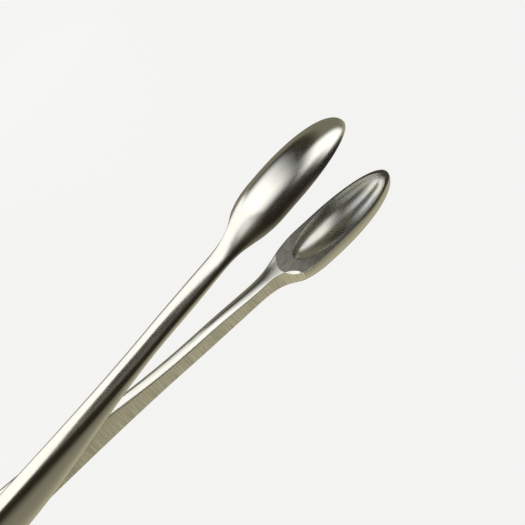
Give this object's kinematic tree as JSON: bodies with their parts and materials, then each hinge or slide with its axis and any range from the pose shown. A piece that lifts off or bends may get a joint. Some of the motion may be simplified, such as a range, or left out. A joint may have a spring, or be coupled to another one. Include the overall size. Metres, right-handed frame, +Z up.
{
  "type": "print tongs",
  "caption": "Scissor-action print tongs with cup-shaped jaws, slim crossing shanks and round finger rings, in satin stainless steel.",
  "frame": {"origin": "centre of the object's box, on the surface that it lies on", "axes": "+X towards the jaws, +Y towards the jaw of the upper arm, +Z up along the pivot screw"},
  "size_m": [0.2079, 0.0744, 0.0107],
  "materials": {
    "arm_steel": "satin brushed stainless, cups polished",
    "screw_steel": "turned and polished stainless"
  },
  "bodies": {
    "lower": {"lower_arm": "arm_steel", "pivot_screw": "screw_steel"},
    "upper": {"upper_arm": "arm_steel"}
  },
  "joints": [
    {"name": "pivot", "type": "hinge", "parent": "lower", "child": "upper", "pos_m": [-0.00356, 0, 0.00536], "axis": [0, 0, 1], "range_deg": [-9.5, 30]}
  ]
}
